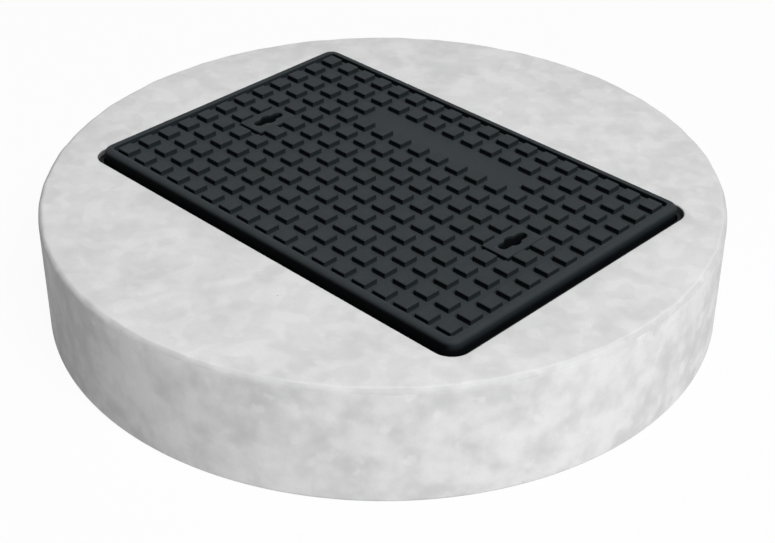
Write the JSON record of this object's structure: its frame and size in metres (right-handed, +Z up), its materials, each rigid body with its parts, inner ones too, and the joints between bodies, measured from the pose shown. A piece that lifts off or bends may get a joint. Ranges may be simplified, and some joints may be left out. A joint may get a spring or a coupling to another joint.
{
  "type": "manhole cover slab",
  "caption": "Round precast concrete cover slab with a cast-in rectangular frame and a loose studded tread cover with key slots.",
  "frame": {"origin": "centre of the slab's flat underside", "axes": "+Z up, +X along the cover's long side, +Y towards the cover's bare band"},
  "size_m": [1, 1, 0.193],
  "materials": {
    "concrete": "smooth precast concrete",
    "anthracite_iron": "matte anthracite coating",
    "gasket_rubber": "moulded rubber",
    "cup_plastic": "moulded black",
    "screw_steel": "plain stainless",
    "bar_steel": "mill finish"
  },
  "bodies": {
    "slab": {"concrete_slab": "concrete", "cover_frame": "anthracite_iron", "seat_gasket": "gasket_rubber", "ring_bar_lower": "bar_steel", "ring_bar_upper": "bar_steel", "long_bars_lower": "bar_steel", "short_bars_lower": "bar_steel", "corner_bars_lower": "bar_steel", "long_bars_upper": "bar_steel", "short_bars_upper": "bar_steel", "ring_links": "bar_steel"},
    "cover": {"tread_cover": "anthracite_iron", "key_insert_left": "anthracite_iron", "key_insert_right": "anthracite_iron", "key_cup_left": "cup_plastic", "key_cup_right": "cup_plastic", "key_cup_screws_left": "screw_steel", "key_cup_screws_right": "screw_steel"}
  },
  "joints": [
    {"name": "cover_lift", "type": "slide", "parent": "slab", "child": "cover", "axis": [0, 0, 1], "range_m": [0, 0.1]}
  ]
}
